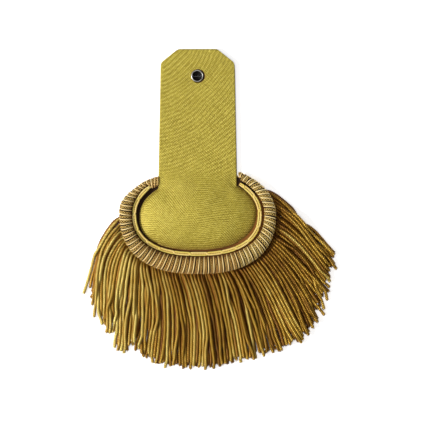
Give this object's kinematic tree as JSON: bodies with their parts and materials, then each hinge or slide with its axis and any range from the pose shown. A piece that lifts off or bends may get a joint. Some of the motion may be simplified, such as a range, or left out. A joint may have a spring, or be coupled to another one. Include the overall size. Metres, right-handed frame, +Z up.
{
  "type": "fringed shoulder epaulette",
  "caption": "Dress shoulder epaulette: stiff cloth-covered strap with an eyelet, padded oval end ringed by a cord and a wound bullion roll, and a loose fringe of twisted cords.",
  "frame": {"origin": "on the axis of the strap's eyelet, at the surface that the epaulette lies on", "axes": "+Z up through the eyelet, out of the face side; +Y along the strap towards its free end; +X to the right as seen from above"},
  "size_m": [0.1892, 0.2405, 0.0137],
  "materials": {
    "lining_cloth": "matt black cotton",
    "base_board": "stiff board covered in dark brown cloth",
    "gold_cloth": "fine gold twill with a slight sheen",
    "eyelet_metal": "nickel plated",
    "edge_cord_gold": "bright gold thread, two ply",
    "bullion_gimp": "metallic gold gimp, wound crosswise",
    "fringe_cord": "twisted gold rayon cord, satin"
  },
  "bodies": {
    "root": {"lining": "lining_cloth", "base": "base_board", "strap": "gold_cloth", "eyelet": "eyelet_metal", "edge_cord": "edge_cord_gold", "bullion_roll": "bullion_gimp", "fringe": "fringe_cord"}
  },
  "joints": []
}
